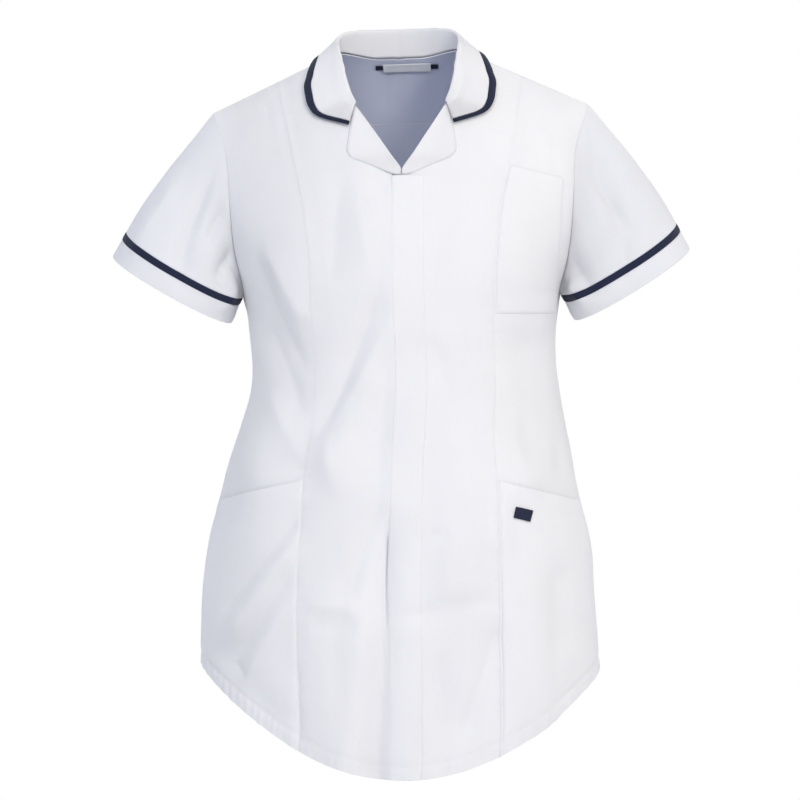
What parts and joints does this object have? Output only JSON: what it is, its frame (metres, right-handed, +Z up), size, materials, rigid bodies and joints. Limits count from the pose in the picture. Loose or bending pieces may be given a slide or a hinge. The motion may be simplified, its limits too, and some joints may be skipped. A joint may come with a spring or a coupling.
{
  "type": "maternity tunic",
  "caption": "White short-sleeved maternity tunic, worn pose without a wearer: notched collar and cuffs trimmed in navy, concealed front fastening, breast pocket and hip pockets, curved hem",
  "frame": {"origin": "middle of the neck opening at the height where the shoulder seams meet the neck, where the wearer's shoulders hold the garment", "axes": "+Z up along the garment's length, front faces -Y, +X is the wearer's left"},
  "size_m": [0.6172, 0.3344, 0.8021],
  "materials": {
    "white_cloth": "matt polyester-cotton twill",
    "navy_trim": "matt polyester-cotton twill",
    "label_satin": "satin tape"
  },
  "bodies": {
    "root": {"back": "white_cloth", "back_yoke": "white_cloth", "breast_pocket": "white_cloth", "collar": "white_cloth", "collar_binding": "navy_trim", "cuff_left": "white_cloth", "cuff_right": "white_cloth", "front_centre_left_lower": "white_cloth", "front_centre_left_middle": "white_cloth", "front_centre_left_upper": "white_cloth", "front_centre_right_lower": "white_cloth", "front_centre_right_middle": "white_cloth", "front_centre_right_upper": "white_cloth", "front_side_left": "white_cloth", "front_side_right": "white_cloth", "hanger_loop": "navy_trim", "hip_pocket_left": "white_cloth", "hip_pocket_right": "white_cloth", "neck_label": "label_satin", "placket_band": "white_cloth", "pocket_tab": "navy_trim", "rever_left": "white_cloth", "rever_right": "white_cloth", "sleeve_band_left": "navy_trim", "sleeve_band_right": "navy_trim", "sleeve_left": "white_cloth", "sleeve_right": "white_cloth"}
  },
  "joints": []
}
